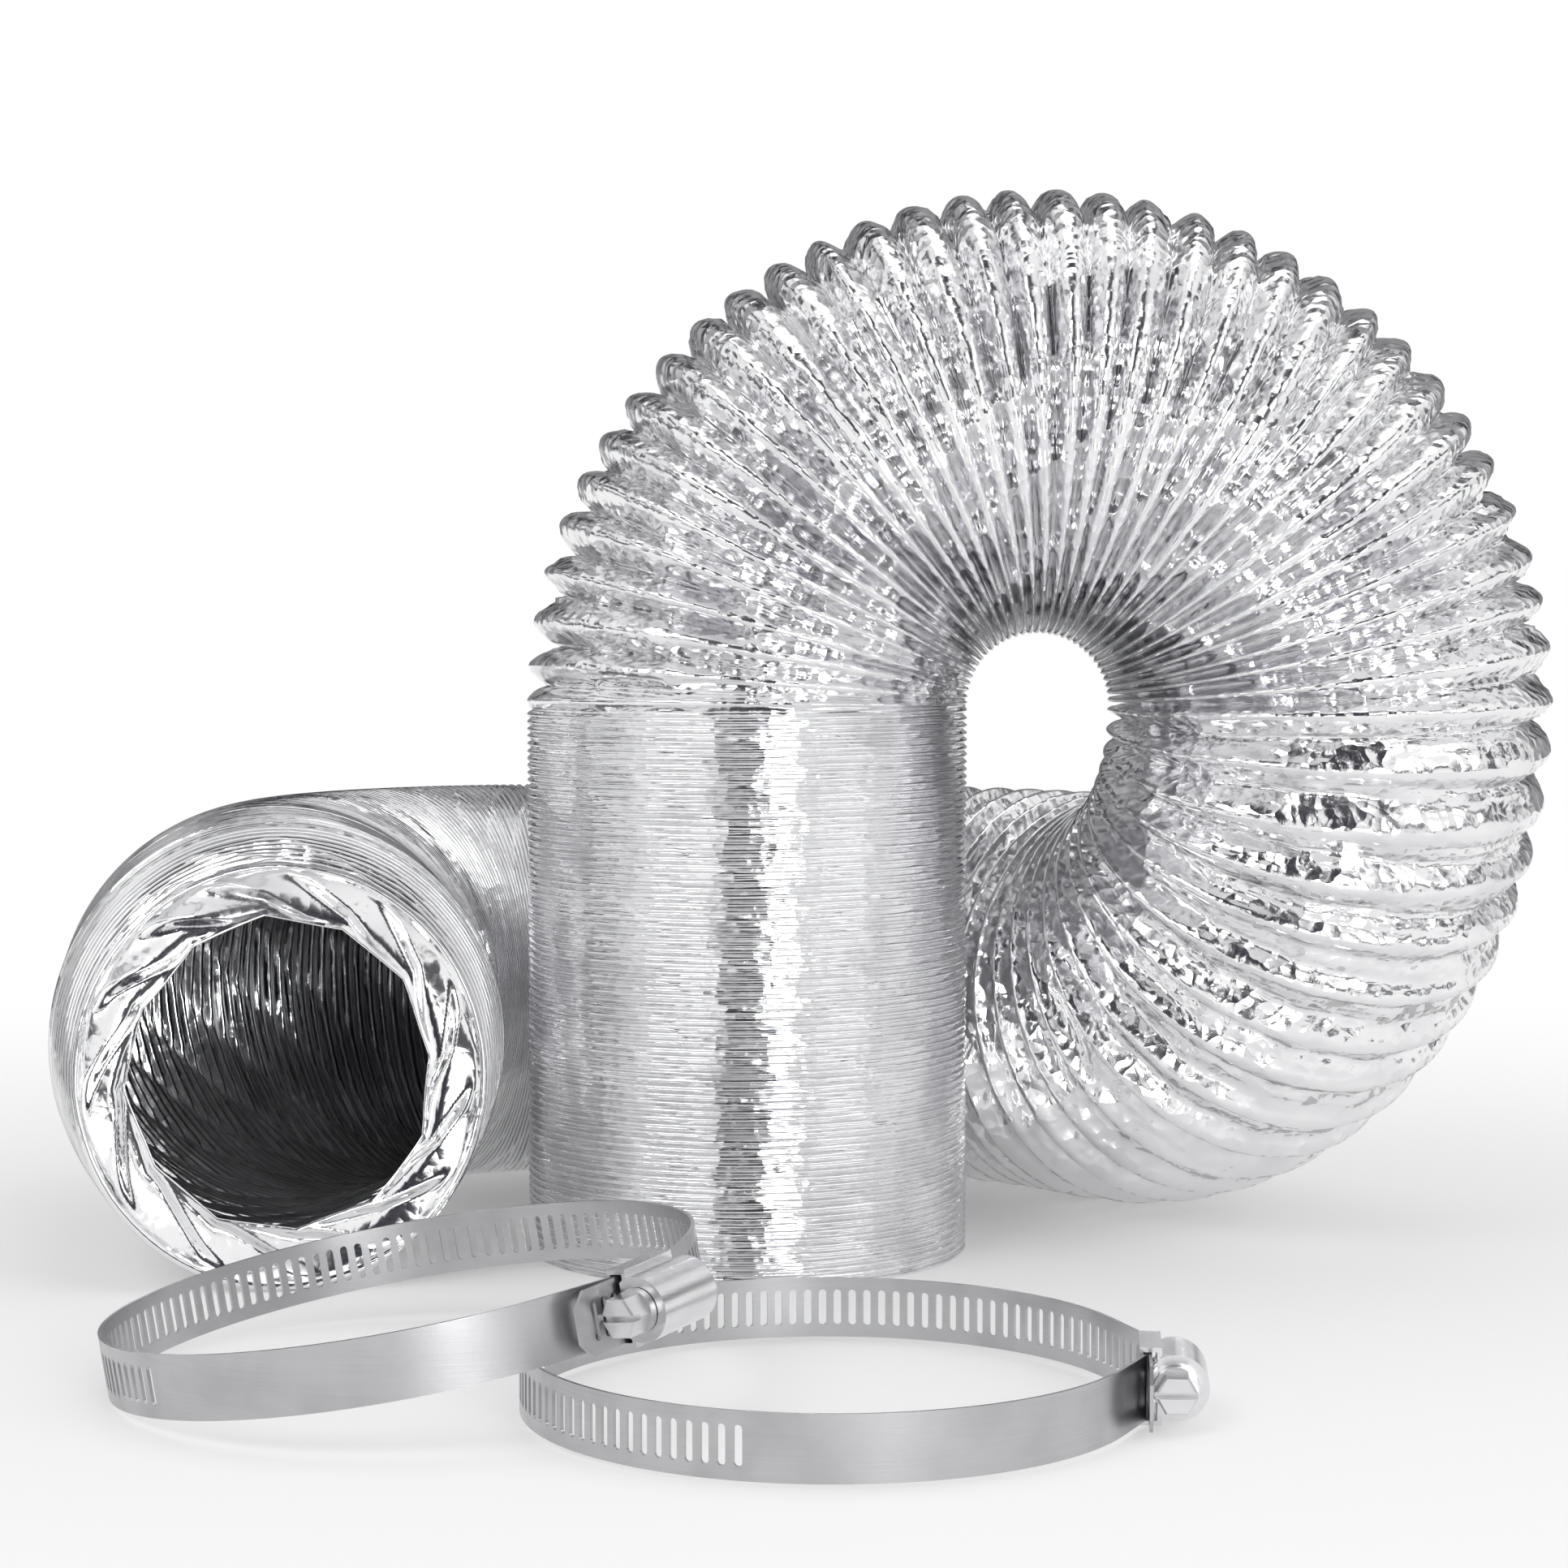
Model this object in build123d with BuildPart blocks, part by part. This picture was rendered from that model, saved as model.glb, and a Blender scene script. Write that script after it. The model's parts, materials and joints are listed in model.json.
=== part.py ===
from build123d import *

import os
from math import asin, cos, degrees, radians, sin, tan

# A 100 mm (4 inch) flexible foil duct, bent into an arch with both of its ends open, and the
# two worm-drive clamps that fasten it. +Z is up and the origin is the centre of the standing
# end's bore, on the floor. Lengths are in millimetres and angles in degrees.

# duct wall: two foil plies with a spring wire coiled between them
BORE_R = 50.8
INNER_PLY = 0.8
OUTER_PLY = 1.0
WIRE_D = 1.0
WIRE_SIDES = 8
WIRE_CLEARANCE = 0.1

# duct route, from the standing end up, over, down and round to the open mouth
STANDING_LENGTH = 133.0
ARCH_R = 71.0
ARCH_TURN = 180.0
DROP_TURN = 90.0
DROP_SIDE_ANGLE = 125.0
REAR_R = 110.0
REAR_TURN = 55.0
REAR_LENGTH = 55.0
BEND_R = 73.0
BEND_TURN = 100.0
NECK_LENGTH = 15.0
BELLOWS_LENGTH = 45.0
MOUTH_LENGTH = 25.0

# wire turns in each stretch
STANDING_TURNS = 50
ARCH_TURNS = 33
DROP_TURNS = 14
REAR_CURVE_TURNS = 10
REAR_RUN_TURNS = 8
BEND_TURNS = 30
NECK_TURNS = 5
BELLOWS_TURNS = 18
MOUTH_TURNS = 8

# clamp band, punched with slots that the worm drives
BAND_R = 60.0
BAND_WIDTH = 12.7
BAND_THICKNESS = 0.7
SLOT_PITCH = 3.175
SLOT_WIDTH = 1.6
SLOT_LENGTH = 7.6
SLOT_COUNT = 86
FIXED_SIDE_ANGLE = 20.0
TAIL_SIDE_ANGLE = 24.0
BAND_BEND_R = 3.0
FIXED_END_REACH = 5.0
TAIL_REACH = 21.0
TAIL_CHAMFER = 3.0

# clamp housing and worm screw
SADDLE_THICKNESS = 0.7
SADDLE_GAP = 0.2
TAIL_GAP = 0.3
HOUSING_LENGTH = 15.0
HOUSING_WALL = 0.9
HOUSING_CLEARANCE = 0.3
WORM_TIP_R = 5.2
WORM_CORE_R = 4.2
WORM_ROOT_SINK = 0.15
WORM_TURNS = 4
WORM_BITE = 0.6
THREAD_TIP_WIDTH = 0.7
THREAD_ROOT_WIDTH = 1.1
BARREL_CLEARANCE = 0.3
HEAD_TAIL_GAP = 0.2
JOURNAL_R = 3.2
JOURNAL_CLEARANCE = 0.05
FRONT_PLATE = 0.9
COLLAR_LENGTH = 1.6
COLLAR_GAP = 0.2
HEX_ACROSS_FLATS = 7.4
HEX_LENGTH = 5.0
DRIVER_SLOT_WIDTH = 1.2
DRIVER_SLOT_DEPTH = 2.0
NOSE_THICKNESS = 1.2
NOSE_ROUND = 0.8
HEX_ROUND = 0.4
SHOULDER_HEIGHT = 3.4
RIVET_R = 1.1
RIVET_SPACING = 6.4
RIVET_HEIGHT = 0.15

# where the clamps lie on the floor in front of the duct
RIGHT_CLAMP_X = 18.0
RIGHT_CLAMP_Y = -170.0
RIGHT_HOUSING_ANGLE = -5.0
LEFT_CLAMP_X = -68.0
LEFT_CLAMP_Y = -147.0
LEFT_HOUSING_ANGLE = -35.0
REST_GAP = 0.2

# sizes that follow from the ones above
INNER_PLY_R = BORE_R + INNER_PLY
WIRE_R = INNER_PLY_R + WIRE_CLEARANCE + WIRE_D / 2
OUTER_BORE_R = WIRE_R + WIRE_D / 2 + WIRE_CLEARANCE
DUCT_R = OUTER_BORE_R + OUTER_PLY
DROP_R = STANDING_LENGTH - DUCT_R

SADDLE_BOTTOM = BAND_R + SADDLE_GAP
FIXED_BOTTOM = SADDLE_BOTTOM + SADDLE_THICKNESS
TAIL_BOTTOM = FIXED_BOTTOM + BAND_THICKNESS + TAIL_GAP
TAIL_TOP = TAIL_BOTTOM + BAND_THICKNESS
WORM_AXIS = TAIL_TOP - WORM_BITE + WORM_TIP_R
BARREL_R = WORM_TIP_R + BARREL_CLEARANCE
COLLAR_R = WORM_AXIS - TAIL_TOP - HEAD_TAIL_GAP
HOUSING_HALF_WIDTH = BAND_WIDTH / 2 + HOUSING_CLEARANCE
HOUSING_R = HOUSING_HALF_WIDTH + HOUSING_WALL
CLAMP_HALF_HEIGHT = HOUSING_R


class Run:
    """One straight run or one arc of the duct's centre line.

    An arc turns about `axis` through `centre` by `turn` degrees; a straight run goes `length`
    along its heading.
    """

    def __init__(self, start, heading, length=0.0, centre=None, axis=None, turn=0.0):
        self.start = start
        self.heading = heading
        self.length = length
        self.centre = centre
        self.axis = axis
        self.turn = turn

    def at(self, share):
        """The plane square to the run at a share of it, facing along it."""
        point = self.start + self.heading * (self.length * share)
        heading = self.heading
        if self.turn:
            arm = (self.start - self.centre).rotate(Axis((0, 0, 0), self.axis), self.turn * share)
            point = self.centre + arm
            heading = self.heading.rotate(Axis((0, 0, 0), self.axis), self.turn * share)
        return Plane(origin=point, z_dir=heading)

    def stretch(self, low, high):
        """The run's part between two shares of it."""
        begin = self.at(low)
        share = high - low
        return Run(begin.origin, begin.z_dir, self.length * share, self.centre, self.axis,
                   self.turn * share)

    def straight_on(self, length):
        """A straight run that carries on from the end of this one."""
        end = self.at(1)
        return Run(end.origin, end.z_dir, length=length)

    def arc_on(self, radius, axis, turn):
        """An arc that carries on from the end of this one, turning about a direction."""
        end = self.at(1)
        centre = end.origin + axis.cross(end.z_dir) * radius
        return Run(end.origin, end.z_dir, centre=centre, axis=axis, turn=turn)


up = Vector(0, 0, 1)
standing = Run(Vector(0, 0, 0), up, length=STANDING_LENGTH)
arch = standing.arc_on(ARCH_R, Vector(0, 1, 0), ARCH_TURN)
drop_side = Vector(1, 0, 0).rotate(Axis.Z, DROP_SIDE_ANGLE)
drop = arch.arc_on(DROP_R, Vector(0, 0, -1).cross(drop_side), DROP_TURN)
rear_curve = drop.arc_on(REAR_R, up, REAR_TURN)
rear_run = rear_curve.straight_on(REAR_LENGTH)
bend = rear_run.arc_on(BEND_R, up, BEND_TURN)
neck = bend.straight_on(NECK_LENGTH)
bellows = neck.straight_on(BELLOWS_LENGTH)
mouth = bellows.straight_on(MOUTH_LENGTH)


def tube(run, inner_r, outer_r):
    """A round tube along one run."""
    with BuildPart() as shell:
        with BuildSketch(run.at(0)):
            Circle(outer_r)
            Circle(inner_r, mode=Mode.SUBTRACT)
        if run.turn:
            revolve(axis=Axis(run.centre, run.axis), revolution_arc=run.turn)
        else:
            extrude(amount=run.length)
    return shell.part


# the wire's round section is given as an octagon, which keeps the many rings light
with BuildPart() as wire_ring:
    with BuildSketch(Plane.XZ):
        with Locations((WIRE_R, 0)):
            RegularPolygon(WIRE_D / 2, WIRE_SIDES)
    revolve(axis=Axis.Z)


def wire_turns(run, turns):
    """The spring wire's turns in one run, as separate rings square to it."""
    places = [run.at((turn + 0.5) / turns).location for turn in range(turns)]
    return Compound([place * wire_ring.part for place in places])


def save(part, name):
    """Labels a finished piece and writes its file."""
    part.label = name
    export_step(part, f"parts/{name}.step")


os.makedirs("parts", exist_ok=True)

# ---- the duct's outer foil ply, one node for each length that bends or moves by itself ----

OUTER_PIECES = [
    ("outer_foil_standing", standing, 1),
    ("outer_foil_arch", arch, 6),
    ("outer_foil_drop", drop, 3),
    ("outer_foil_rear_curve", rear_curve, 2),
    ("outer_foil_rear_run", rear_run, 1),
    ("outer_foil_bend", bend, 1),
    ("outer_foil_neck", neck, 1),
    ("outer_foil_bellows", bellows, 1),
    ("outer_foil_mouth", mouth, 1),
]

for piece_name, piece_run, count in OUTER_PIECES:
    for index in range(count):
        label = piece_name if count == 1 else f"{piece_name}_{index + 1}"
        length_of_run = piece_run.stretch(index / count, (index + 1) / count)
        save(tube(length_of_run, OUTER_BORE_R, DUCT_R), label)

# ---- the inner foil ply and the spring wire ----

LINED_PIECES = [
    ("standing", standing, STANDING_TURNS),
    ("arch", arch, ARCH_TURNS),
    ("drop", drop, DROP_TURNS),
    ("rear_curve", rear_curve, REAR_CURVE_TURNS),
    ("rear_run", rear_run, REAR_RUN_TURNS),
    ("bend", bend, BEND_TURNS),
    ("neck", neck, NECK_TURNS),
    ("bellows", bellows, BELLOWS_TURNS),
    ("mouth", mouth, MOUTH_TURNS),
]

for place, lined_run, turns in LINED_PIECES:
    save(tube(lined_run, BORE_R, INNER_PLY_R), f"inner_foil_{place}")
    save(wire_turns(lined_run, turns), f"spring_wire_{place}")

# ---- one worm-drive clamp in its own frame: the origin is the ring's centre, +X runs out
# through the housing, +Y along the band under it and +Z along the ring's axis ----

RING_MID_R = BAND_R + BAND_THICKNESS / 2
FIXED_MID = FIXED_BOTTOM + BAND_THICKNESS / 2
TAIL_MID = TAIL_BOTTOM + BAND_THICKNESS / 2


def corner_reach(flat_level, angle):
    """How far from the housing's middle the band's flat meets the straight off the ring."""
    rise = flat_level - RING_MID_R * cos(radians(angle))
    return RING_MID_R * sin(radians(angle)) - rise / tan(radians(angle))


def straight_length(flat_level, angle):
    """The length of the straight between the ring and the flat."""
    return (flat_level - RING_MID_R * cos(radians(angle))) / sin(radians(angle))


FIXED_CORNER = corner_reach(FIXED_MID, FIXED_SIDE_ANGLE)
TAIL_CORNER = corner_reach(TAIL_MID, TAIL_SIDE_ANGLE)
TAIL_STRAIGHT = straight_length(TAIL_MID, TAIL_SIDE_ANGLE)
TAIL_START = TAIL_CORNER - BAND_BEND_R * tan(radians(TAIL_SIDE_ANGLE / 2))


def ring_point(angle):
    """A point on the middle of the band's round part, at an angle from the housing."""
    return (RING_MID_R * cos(radians(angle)), RING_MID_R * sin(radians(angle)))


def slot_plane(reach):
    """The plane of a slot at a distance along the band, from the middle of the housing."""
    if reach <= TAIL_CORNER:
        point, angle = (TAIL_MID, reach), 0.0
    elif reach <= TAIL_CORNER + TAIL_STRAIGHT:
        along = reach - TAIL_CORNER
        angle = TAIL_SIDE_ANGLE
        point = (TAIL_MID - along * sin(radians(angle)), TAIL_CORNER + along * cos(radians(angle)))
    else:
        angle = TAIL_SIDE_ANGLE + degrees((reach - TAIL_CORNER - TAIL_STRAIGHT) / RING_MID_R)
        point = ring_point(angle)
    outward = Vector(cos(radians(angle)), sin(radians(angle)), 0)
    return Plane(origin=(point[0], point[1], 0), x_dir=(0, 0, 1), z_dir=outward)


def slots(first, last):
    """The planes of the slots from one number to another; slot 0 is at the housing's middle."""
    return [slot_plane(number * SLOT_PITCH) for number in range(first, last + 1)]


TAIL_SLOTS = slots(-int((TAIL_REACH - TAIL_CHAMFER) / SLOT_PITCH), int(TAIL_START / SLOT_PITCH))
LOOP_SLOTS = slots(int(TAIL_START / SLOT_PITCH) + 1, SLOT_COUNT)

with BuildPart() as band_loop:
    with BuildSketch():
        with BuildLine():
            FilletPolyline(
                (FIXED_MID, FIXED_END_REACH),
                (FIXED_MID, -FIXED_CORNER),
                ring_point(-FIXED_SIDE_ANGLE),
                radius=BAND_BEND_R,
            )
            CenterArc((0, 0), RING_MID_R, TAIL_SIDE_ANGLE, 360 - TAIL_SIDE_ANGLE - FIXED_SIDE_ANGLE)
            FilletPolyline(
                ring_point(TAIL_SIDE_ANGLE),
                (TAIL_MID, TAIL_CORNER),
                (TAIL_MID, TAIL_START - BAND_BEND_R),
                radius=BAND_BEND_R,
            )
        trace(line_width=BAND_THICKNESS)
        with Locations((TAIL_MID, TAIL_START - BAND_BEND_R)):
            Rectangle(2 * BAND_THICKNESS, 2 * BAND_BEND_R, mode=Mode.SUBTRACT)
    extrude(amount=BAND_WIDTH / 2, both=True)
    with BuildSketch(*LOOP_SLOTS):
        SlotOverall(SLOT_LENGTH, SLOT_WIDTH)
    extrude(amount=BAND_THICKNESS, both=True, mode=Mode.SUBTRACT)

with BuildPart() as band_tail:
    with BuildSketch(Plane(origin=(TAIL_BOTTOM, 0, 0), x_dir=(0, 1, 0), z_dir=(1, 0, 0))):
        with Locations(((TAIL_START - TAIL_REACH) / 2, 0)):
            Rectangle(TAIL_START + TAIL_REACH, BAND_WIDTH)
    extrude(amount=BAND_THICKNESS)
    chamfer(band_tail.edges().filter_by(Axis.X).group_by(Axis.Y)[0], length=TAIL_CHAMFER)
    with BuildSketch(*TAIL_SLOTS):
        SlotOverall(SLOT_LENGTH, SLOT_WIDTH)
    extrude(amount=BAND_THICKNESS, both=True, mode=Mode.SUBTRACT)

with BuildPart() as saddle:
    with BuildSketch(Plane.YZ.offset(SADDLE_BOTTOM)):
        Rectangle(HOUSING_LENGTH, 2 * HOUSING_HALF_WIDTH)
    extrude(amount=SADDLE_THICKNESS)

with BuildPart() as rivets:
    with BuildSketch(Plane.YZ.offset(SADDLE_BOTTOM)):
        with GridLocations(RIVET_SPACING, RIVET_SPACING / 2, 2, 2):
            Circle(RIVET_R)
    extrude(amount=-RIVET_HEIGHT)

# the housing is one pressing: a skirt astride the band and a barrel over the worm
SHOULDER = SADDLE_BOTTOM + SHOULDER_HEIGHT
HOUSING_START = Plane(origin=(0, -HOUSING_LENGTH / 2, 0), x_dir=(0, 0, 1), z_dir=(0, 1, 0))
SKIRT_HEIGHT = SHOULDER + HOUSING_WALL - SADDLE_BOTTOM

with BuildPart() as housing:
    with BuildSketch(HOUSING_START):
        with Locations((0, SADDLE_BOTTOM + SKIRT_HEIGHT / 2)):
            Rectangle(2 * HOUSING_R, SKIRT_HEIGHT)
        with Locations((0, WORM_AXIS)):
            Circle(BARREL_R + HOUSING_WALL)
        with Locations((0, SADDLE_BOTTOM + SHOULDER_HEIGHT / 2)):
            Rectangle(2 * HOUSING_HALF_WIDTH, SHOULDER_HEIGHT, mode=Mode.SUBTRACT)
        with Locations((0, WORM_AXIS)):
            Circle(BARREL_R, mode=Mode.SUBTRACT)
    extrude(amount=HOUSING_LENGTH)
    with BuildSketch(HOUSING_START.offset(HOUSING_LENGTH)):
        with Locations((0, WORM_AXIS)):
            Circle(BARREL_R + HOUSING_WALL)
        with Locations((0, SHOULDER - SHOULDER_HEIGHT)):
            Rectangle(2 * HOUSING_R, 2 * SHOULDER_HEIGHT, mode=Mode.SUBTRACT)
    extrude(amount=NOSE_THICKNESS)
    with BuildSketch(HOUSING_START):
        with Locations((0, WORM_AXIS)):
            Circle(BARREL_R + HOUSING_WALL)
            Circle(JOURNAL_R + JOURNAL_CLEARANCE, mode=Mode.SUBTRACT)
        with Locations((0, SHOULDER - SHOULDER_HEIGHT)):
            Rectangle(2 * HOUSING_R, 2 * SHOULDER_HEIGHT, mode=Mode.SUBTRACT)
    extrude(amount=-FRONT_PLATE)
    fillet(housing.faces().sort_by(Axis.Y)[-1].edges().filter_by(GeomType.CIRCLE), radius=NOSE_ROUND)

# the screw is made about +Z with its head below, and +X facing the band
WORM_HALF = WORM_TURNS * SLOT_PITCH / 2
CORE_HALF = HOUSING_LENGTH / 2 - COLLAR_GAP
THREAD_START_R = WORM_CORE_R - WORM_ROOT_SINK
COLLAR_START = -HOUSING_LENGTH / 2 - FRONT_PLATE - COLLAR_GAP
HEAD_START = COLLAR_START - COLLAR_LENGTH

with BuildPart() as screw:
    with BuildSketch(Plane.XY.offset(-CORE_HALF)):
        Circle(WORM_CORE_R)
    extrude(amount=2 * CORE_HALF)
    with BuildLine() as thread_path:
        Helix(SLOT_PITCH, 2 * WORM_HALF, THREAD_START_R, center=(0, 0, -WORM_HALF))
    with BuildSketch(Plane(origin=(THREAD_START_R, 0, -WORM_HALF), x_dir=(1, 0, 0), z_dir=(0, 1, 0))):
        with BuildLine():
            Polyline(
                (0, -THREAD_ROOT_WIDTH / 2),
                (WORM_TIP_R - THREAD_START_R, -THREAD_TIP_WIDTH / 2),
                (WORM_TIP_R - THREAD_START_R, THREAD_TIP_WIDTH / 2),
                (0, THREAD_ROOT_WIDTH / 2),
                close=True,
            )
        make_face()
    sweep(path=thread_path.edges()[0], is_frenet=True)
    with BuildSketch(Plane.XY.offset(COLLAR_START)):
        Circle(JOURNAL_R)
    extrude(amount=-COLLAR_START - CORE_HALF)
    with BuildSketch(Plane.XY.offset(COLLAR_START)):
        Circle(COLLAR_R)
    extrude(amount=-COLLAR_LENGTH)
    with BuildSketch(Plane.XY.offset(HEAD_START)):
        RegularPolygon(HEX_ACROSS_FLATS / 2, 6, major_radius=False)
    extrude(amount=-HEX_LENGTH)
    chamfer(screw.faces().sort_by(Axis.Z)[0].edges(), length=HEX_ROUND)
    with BuildSketch(Plane.XY.offset(HEAD_START - HEX_LENGTH)):
        Rectangle(2 * HEX_ACROSS_FLATS, DRIVER_SLOT_WIDTH)
    extrude(amount=DRIVER_SLOT_DEPTH, mode=Mode.SUBTRACT)

screw_frame = Plane(origin=(WORM_AXIS, 0, 0), x_dir=(-1, 0, 0), z_dir=(0, 1, 0))
placed_screw = screw_frame.location * screw.part

CLAMP_PIECES = {
    "band_loop": band_loop.part,
    "band_tail": band_tail.part,
    "saddle": saddle.part,
    "rivets": rivets.part,
    "housing": housing.part,
    "worm_screw": placed_screw,
}


def clamp_frame(x, y, z, housing_angle, tilt):
    """A clamp's frame: its ring lies level, turned to its angle, then tips up to the right."""
    level = Plane(origin=(0, 0, 0), x_dir=(cos(radians(housing_angle)), sin(radians(housing_angle)), 0))
    tipped = Axis((0, 0, 0), (0, -1, 0))
    return Plane(
        origin=(x, y, z),
        x_dir=level.x_dir.rotate(tipped, tilt),
        z_dir=level.z_dir.rotate(tipped, tilt),
    )


# the right clamp lies flat on its housing's skirt; the left one has its left edge on the floor
# and is tipped up until its ring clears all of the right one's band
BAND_OUTER_R = BAND_R + BAND_THICKNESS
right_top = CLAMP_HALF_HEIGHT + BAND_WIDTH / 2
right_edge_x = RIGHT_CLAMP_X - BAND_OUTER_R - LEFT_CLAMP_X
left_tilt = degrees(asin((right_top + REST_GAP) / (BAND_OUTER_R + right_edge_x)))
left_z = BAND_OUTER_R * sin(radians(left_tilt)) + BAND_WIDTH / 2 * cos(radians(left_tilt))

right_frame = clamp_frame(RIGHT_CLAMP_X, RIGHT_CLAMP_Y, CLAMP_HALF_HEIGHT, RIGHT_HOUSING_ANGLE, 0)
left_frame = clamp_frame(LEFT_CLAMP_X, LEFT_CLAMP_Y, left_z, LEFT_HOUSING_ANGLE, left_tilt)

for side, frame in (("right", right_frame), ("left", left_frame)):
    for piece_name, piece in CLAMP_PIECES.items():
        save(frame.location * piece, f"{side}_{piece_name}")
    worm_point = frame.from_local_coords((WORM_AXIS, 0, 0))
    print(side, "clamp centre", frame.origin, "axis", frame.z_dir)
    print(side, "screw point", worm_point, "turning axis", frame.y_dir)

pivot_turn = bend.at(0.5)
swing_point = bend.centre + (pivot_turn.origin - bend.centre).normalized() * (BEND_R + DUCT_R)
print("mouth swing pivot", swing_point)
print("mouth centre", mouth.at(1).origin, "heading", mouth.at(1).z_dir)
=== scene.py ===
"""A flexible foil duct and its two worm-drive clamps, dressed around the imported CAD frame."""

import json
import logging
from collections.abc import Callable, Sequence
from dataclasses import dataclass, field
from enum import Enum
from math import cos, pi, radians, sin

import bmesh
import bpy
import numpy as np
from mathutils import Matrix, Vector


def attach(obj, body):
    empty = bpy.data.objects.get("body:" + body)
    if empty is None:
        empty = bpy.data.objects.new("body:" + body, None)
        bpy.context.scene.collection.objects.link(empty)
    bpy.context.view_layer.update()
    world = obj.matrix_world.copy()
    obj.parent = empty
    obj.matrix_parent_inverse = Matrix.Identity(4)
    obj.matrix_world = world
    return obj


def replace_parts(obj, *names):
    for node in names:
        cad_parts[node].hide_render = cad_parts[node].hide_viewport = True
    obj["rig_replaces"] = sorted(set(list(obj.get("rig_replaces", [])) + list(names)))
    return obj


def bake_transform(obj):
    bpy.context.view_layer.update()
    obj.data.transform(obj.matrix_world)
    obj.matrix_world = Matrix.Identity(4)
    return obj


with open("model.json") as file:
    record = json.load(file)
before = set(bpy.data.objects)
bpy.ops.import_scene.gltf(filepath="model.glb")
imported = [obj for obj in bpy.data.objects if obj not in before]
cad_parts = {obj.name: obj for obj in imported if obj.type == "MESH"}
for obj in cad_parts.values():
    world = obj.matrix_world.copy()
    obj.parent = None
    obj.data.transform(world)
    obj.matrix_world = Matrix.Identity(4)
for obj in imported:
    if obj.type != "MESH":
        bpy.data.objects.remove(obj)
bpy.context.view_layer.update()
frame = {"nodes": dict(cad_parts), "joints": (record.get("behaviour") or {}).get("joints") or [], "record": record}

log = logging.getLogger("duct")
MM = 0.001
TURN = 2 * pi
Array = np.ndarray


# ---------------------------------------------------------------- shader building


class Shader:
    """One material's or world's node tree, with the few calls that fill it."""

    def __init__(self, tree: bpy.types.NodeTree) -> None:
        """Empties the tree.

        Args:
            tree: The node tree to fill.
        """
        self.tree = tree
        tree.nodes.clear()

    def node(self, kind: str, settings: dict | None = None, **inputs: object) -> bpy.types.Node:
        """Adds any node, sets it up and then fills its sockets.

        Args:
            kind: The node's type, such as "ShaderNodeMath".
            settings: Its properties, and under "stops" a ramp's (place, colour) pairs.
            inputs: Values or links by socket name, with "_" for a space and "i0" for the first.

        Returns:
            The new node.
        """
        made = self.tree.nodes.new(kind)
        for key, value in (settings or {}).items():
            if key == "stops":
                self._stops(made.color_ramp, value)
            else:
                setattr(made, key, value)
        for name, value in inputs.items():
            place = int(name[1:]) if name[0] == "i" and name[1:].isdigit() else name.replace("_", " ")
            socket = made.inputs[place]
            if isinstance(value, Link):
                self.tree.links.new(value.socket, socket)
            else:
                socket.default_value = value
        return made

    @staticmethod
    def _stops(ramp: bpy.types.ColorRamp, stops: Sequence[tuple[float, tuple]]) -> None:
        """Gives a ramp its colours.

        Args:
            ramp: The ramp to fill.
            stops: Its (place, colour) pairs.
        """
        while len(ramp.elements) < len(stops):
            ramp.elements.new(1.0)
        for element, (place, colour) in zip(ramp.elements, stops):
            element.position = place
            element.color = (*colour, 1.0)

    def link(self, kind: str, out: int | str = 0, settings: dict | None = None, **inputs: object) -> "Link":
        """Adds a node and picks one of its outputs, ready for maths.

        Args:
            kind: The node's type.
            out: The output's number or name.
            settings: Its properties.
            inputs: As for node().

        Returns:
            The chosen output.
        """
        return Link(self, self.node(kind, settings, **inputs).outputs[out])

    def mix(self, share: "Link | float", low: object, high: object) -> "Link":
        """Mixes two colours.

        Args:
            share: How much of the second colour, from 0 to 1.
            low: The first colour.
            high: The second colour.

        Returns:
            The mixed colour.
        """
        return self.link("ShaderNodeMix", 2, {"data_type": "RGBA"}, i0=share, i6=low, i7=high)

    def ramp(self, value: "Link", low: float, high: float) -> "Link":
        """Turns a value into a smooth step.

        Args:
            value: The value.
            low: Where the step leaves 0.
            high: Where it reaches 1.

        Returns:
            A value from 0 to 1.
        """
        settings = {"interpolation_type": "SMOOTHSTEP"}
        return self.link("ShaderNodeMapRange", 0, settings, i0=value, i1=low, i2=high)


class Link:
    """A socket that adds Math nodes when it is used in an expression."""

    def __init__(self, shader: Shader, socket: bpy.types.NodeSocket) -> None:
        """Wraps one output socket.

        Args:
            shader: The shader that the socket belongs to.
            socket: The output socket.
        """
        self.shader = shader
        self.socket = socket

    def _math(self, operation: str, first: object, second: object) -> "Link":
        """Adds one Math node.

        Args:
            operation: The node's operation.
            first: Its first value or link.
            second: Its second value or link.

        Returns:
            The node's output.
        """
        return self.shader.link("ShaderNodeMath", 0, {"operation": operation}, i0=first, i1=second)

    def __add__(self, other: object) -> "Link":
        """Adds a value or a link.

        Args:
            other: The other value or link.

        Returns:
            The result.
        """
        return self._math("ADD", self, other)

    def __sub__(self, other: object) -> "Link":
        """Subtracts a value or a link.

        Args:
            other: The other value or link.

        Returns:
            The result.
        """
        return self._math("SUBTRACT", self, other)

    def __rsub__(self, other: object) -> "Link":
        """Subtracts this socket from a value.

        Args:
            other: The other value or link.

        Returns:
            The result.
        """
        return self._math("SUBTRACT", other, self)

    def __mul__(self, other: object) -> "Link":
        """Multiplies by a value or a link.

        Args:
            other: The other value or link.

        Returns:
            The result.
        """
        return self._math("MULTIPLY", self, other)

    __radd__ = __add__
    __rmul__ = __mul__


def scaled(shader: Shader, scale: tuple[float, float, float]) -> Link:
    """Stretches the object's own coordinates.

    Args:
        shader: The shader to add to.
        scale: The stretch along each axis.

    Returns:
        The stretched coordinates.
    """
    where = shader.link("ShaderNodeTexCoord", "Object")
    return shader.link("ShaderNodeVectorMath", 0, {"operation": "MULTIPLY"}, i0=where, i1=scale)


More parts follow.
